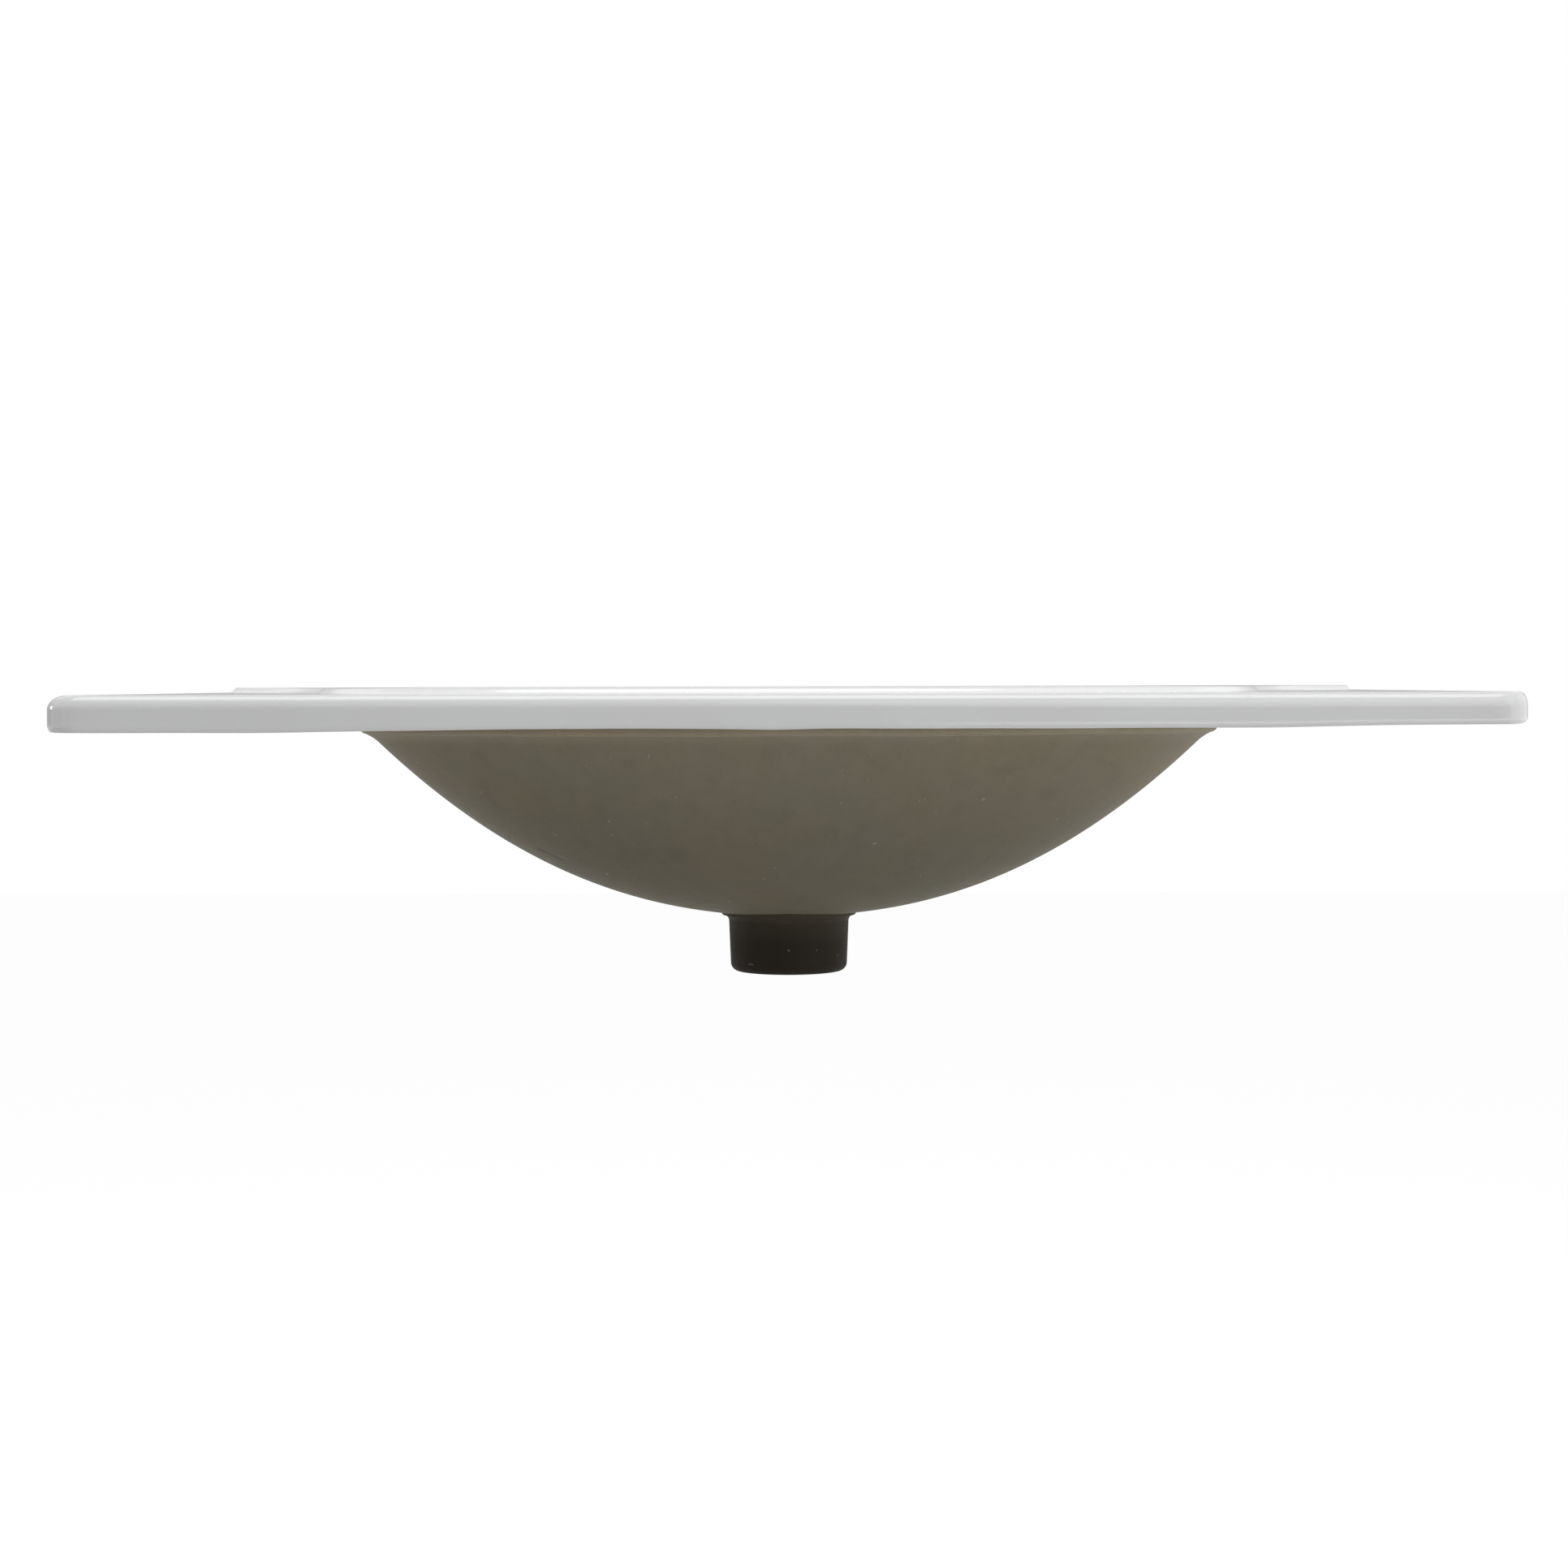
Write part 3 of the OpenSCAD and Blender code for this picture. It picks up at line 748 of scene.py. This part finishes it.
# Overflow channel: a long cast cap stuck up the bowl's back. With the bowl's own wall it makes a
# closed channel from the overflow hole down to the slot in the outlet boss. It is finished with
# the bowl's olive wash.
duct_w, duct_wall, duct_low, duct_sunk = 0.030, 0.007, 0.0285, 0.001
duct_steps, duct_square, end_full = 72, 0.4, 0.93
channel_top = overflow_y + wall * cos(overflow_lean) + overflow_r * sin(overflow_lean)
tree, given = geometry_tree("back channel", ["Width", "Height", "Sunk", "Start", "End",
                                             "Rounded share"])
tube, x, y, z = unit_tube(tree, "NGON", duct_steps, duct_steps)
along = 1 - (0.5 - z) ** 2
over = (along - 1 + given["Rounded share"]).math("MAXIMUM", 0) / given["Rounded share"] * end_full
shrink = (1 - over * over) ** 0.5
side = squared(x, duct_square) * shrink * given["Width"] / 2
full = given["Height"] + given["Sunk"]
out = (squared(y, duct_square) + 1) / 2 * shrink * full - given["Sunk"]
wall_y = given["Start"] + along * (given["End"] - given["Start"])
wall_z = (wall_y / outer_b) ** curve_d * bowl_h + outer_low
lean = ((wall_y / outer_b) ** (curve_d - 1) * (curve_d * bowl_h / outer_b)).math("ARCTANGENT")
ended(tree, given, bent(tree, tube, side, wall_y + out * lean.math("SINE"),
                        wall_z - out * lean.math("COSINE")))
# Its wash carries the bowl's painted light at the top and painted shade low down
channel_finish = bare_finish("channel_wash", wash_painted_light_top, wash_painted_shade_low, bend=2)
channel = grown("overflow_channel", tree, {
    "Width": duct_w + 2 * duct_wall, "Height": duct_gap + duct_wall, "Sunk": wall / 2,
    "Start": duct_low, "End": channel_top + duct_wall / 2, "Rounded share": 0.09,
    "Finish": channel_finish})
cut(channel, grown("channel_tool", tree, {
    "Width": duct_w, "Height": duct_gap, "Sunk": wall / 2 + duct_sunk,
    "Start": drain_r, "End": channel_top, "Rounded share": 0.02, "Finish": channel_finish}))
smoothed(channel)
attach(channel, "root")
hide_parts("overflow_duct")

# Trim ring: the chromed ring pressed into the overflow hole, a rounded flange on a short sleeve,
# spun from brass and polished. Fine wiping marks run round it.
ring_t, ring_wall, ring_h, ring_bevel, ring_under = 0.0025, 0.002, 0.009, 0.001, 0.0002
chrome_dull, chrome_bright = (0.78, 0.79, 0.8, 1), (0.84, 0.85, 0.86, 1)
mark_turns, mark_drift = 9000, 6
sleeve_r, flange_h = overflow_r - ring_gap, ring_t - ring_seat
sleeve_in, sleeve_end = sleeve_r - ring_wall, -ring_seat - ring_h
profile = [(sleeve_r, sleeve_end), (sleeve_r, -ring_seat), (ring_r - ring_under, -ring_seat)]
profile += [(ring_r - ring_bevel * (1 - cos(t)), flange_h - ring_bevel * (1 - sin(t)))
            for t in quarter(7)]
profile += [(sleeve_in + ring_bevel * (1 - sin(t)), flange_h - ring_bevel * (1 - cos(t)))
            for t in quarter(7)]
profile.append((sleeve_in, sleeve_end))
ring = turned("trim_ring", profile, at_overflow)
smoothed(ring)

finish = Finish("chrome")
haze = finish.noise(finish.spot, 0.02, 3)
from_middle = finish.node("ShaderNodeVectorMath", {"operation": "SUBTRACT"},
                          {0: finish.spot, 1: (0, overflow_y, overflow_z)})
marks = (finish.length(from_middle) * mark_turns + haze * mark_drift).math("SINE") * 0.5 + 0.5
ring.data.materials.append(finish.done(
    finish.mix(haze, chrome_dull, chrome_bright), 0.06 + haze * 0.07 + marks * 0.03,
    finish.bump(marks, 0.000004), Metallic=1.0))
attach(ring, "root")
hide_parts("overflow_ring")

# Ribs: two drafted bars cast under the deck's wings, from the front skirt to the back one, which
# keep the plate flat in the fire. Their feet stay clear of the cabinet.
rib_w, rib_h, rib_draft, rib_sunk = 0.016, edge_h - plate_t - 0.001, 0.002, 0.0005
rib_round, rib_steps, rib_square = 40, 90, 0.5
rib_x = (flange_half[0] + collar_w + deck_w / 2 - skirt_w) / 2
tree, given = geometry_tree("rib", ["Middle", "Width", "Drop", "Draft", "Start", "End"])
bar, x, y, z = unit_tube(tree, "NGON", rib_round, rib_steps)
depth = (1 - squared(y, rib_square)) / 2
side = squared(x, rib_square) * (given["Width"] / 2 - given["Draft"] * depth) + given["Middle"]
along = given["Start"] + (z + 0.5) * (given["End"] - given["Start"])
drafted = bent(tree, bar, side, along, plate_z + rib_sunk - depth * (given["Drop"] + rib_sunk))
ended(tree, given, tree.node("GeometryNodeFlipFaces", {}, {"Mesh": drafted}))
for name, sign in (("left", -1), ("right", 1)):
    rib = grown(name + "_stiffener", tree, {
        "Middle": sign * rib_x, "Width": rib_w, "Draft": rib_draft,
        "Drop": rib_h - max(drawn_up(sign * rib_x), 0),
        "Start": front_y + skirt_w - rib_sunk, "End": back_y - skirt_w + rib_sunk,
        "Finish": bare_finish(name + "_rib_body", body_olive, body_brown)})
    smoothed(rib)
    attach(rib, "root")
    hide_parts(name + "_rib")

# Studio: a large pale floor as far under the top as under a fitted one, softboxes overhead, behind,
# in front, below and at both ends, and a small lamp far left, in a pale room that is pure white
# behind the object.
floor_z, floor_half, floor_paint = -1.0, 14, (0.46, 0.46, 0.46, 1)
near_r, far_r, near_glow, far_glow = 1.4, 2.05, 0.35, 0.9
room_light, mirrored = 0.17, 0.4
white = (1, 1, 1, 1)
corners = [(x * floor_half, y * floor_half, floor_z)
           for x, y in ((-1, -1), (1, -1), (1, 1), (-1, 1))]
mesh = bpy.data.meshes.new("studio_floor")
mesh.from_pydata(corners, [], [(0, 1, 2, 3)])
floor = placed("studio_floor", mesh)


def seen_by(tree, gloss):
    """1 for what the camera or glass sees and gloss for what a mirror sees. Lit surfaces see 0."""
    rays = tree.node("ShaderNodeLightPath")
    seen = rays.math("MAXIMUM", rays["Is Glossy Ray"] * gloss)
    return seen.math("MAXIMUM", rays["Is Transmission Ray"])


material = bpy.data.materials.new("pale_floor")
material.use_nodes = True
tree = Tree(material.node_tree)
tree.tree.nodes.clear()
far = tree.length(tree.node("ShaderNodeTexCoord")["Object"]).between(near_r, far_r)
glow = seen_by(tree, 1) * (far * (far_glow - near_glow) + near_glow)
paint = tree.node("ShaderNodeBsdfDiffuse", {}, {"Color": floor_paint})
light = tree.node("ShaderNodeEmission", {}, {"Color": white, "Strength": glow})
both = tree.node("ShaderNodeAddShader", {}, {0: paint, 1: light})
tree.node("ShaderNodeOutputMaterial", {}, {"Surface": both})
floor.data.materials.append(material)

world = bpy.data.worlds.new("pale_room")
scene.world = world
world.use_nodes = True
tree = Tree(world.node_tree)
tree.tree.nodes.clear()
strength = room_light + seen_by(tree, mirrored) * (1 - room_light)
room = tree.node("ShaderNodeBackground", {}, {"Color": white, "Strength": strength})
tree.node("ShaderNodeOutputWorld", {}, {"Surface": room})


def softbox(name, width, height, power, place, aim):
    """A flat lamp of a size in metres and a power in watts, at a place and turned to an aim."""
    lamp = bpy.data.lights.new(name, "AREA")
    lamp.shape, lamp.size, lamp.size_y, lamp.energy = "RECTANGLE", width, height, power
    holder = bpy.data.objects.new(name, lamp)
    holder.location = place
    holder.rotation_euler = (Vector(aim) - Vector(place)).to_track_quat("-Z", "Y").to_euler()
    scene.collection.objects.link(holder)


softbox("overhead", 1.9, 1.0, 18, (-0.05, -0.35, 1.7), (0, -0.1, 0.1))
softbox("rear", 3.6, 1.0, 5, (0, 1.6, 1.35), (0, 0, 0.1))
softbox("front_right", 3.4, 2.4, 27, (1.5, -2.3, 1.4), (0.1, -0.2, 0.1))
softbox("front_low", 1.8, 0.5, 4.6, (1.0, -1.9, -0.4), (0.1, -0.1, 0.08))
softbox("under", 1.2, 0.8, 2, (0.1, -0.3, -0.92), (0, -0.1, 0))
softbox("right_end", 3.2, 2.0, 17, (2.0, -0.05, 0.25), (0.3, 0, 0.1))
softbox("left_end", 2.2, 1.5, 6.5, (-1.8, -0.6, 0.5), (-0.3, 0, 0.1))
softbox("left_back", 0.4, 0.35, 5, (-2.2, 0.5, 0.47), (-0.35, 0, 0.1))

# The camera stands where the photograph was taken, nearly level and with its picture almost upright
picture_px, lens_px, sensor = 1932, 3630, 36
eye, pan, tilt, roll = (0.010, -1.772, 0.1294), 0.41, 90 - 1.975, -0.155
camera_data = bpy.data.cameras.new("photo_view")
camera_data.sensor_width = sensor
camera_data.lens = lens_px * sensor / picture_px
camera_data.clip_start, camera_data.clip_end = 0.05, 60
camera = bpy.data.objects.new("photo_view", camera_data)
aim = (Matrix.Rotation(radians(pan), 4, "Z") @ Matrix.Rotation(radians(tilt), 4, "X")
       @ Matrix.Rotation(radians(roll), 4, "Z"))
camera.matrix_world = Matrix.Translation(eye) @ aim
scene.collection.objects.link(camera)
scene.camera = camera
scene.view_settings.view_transform = "Standard"
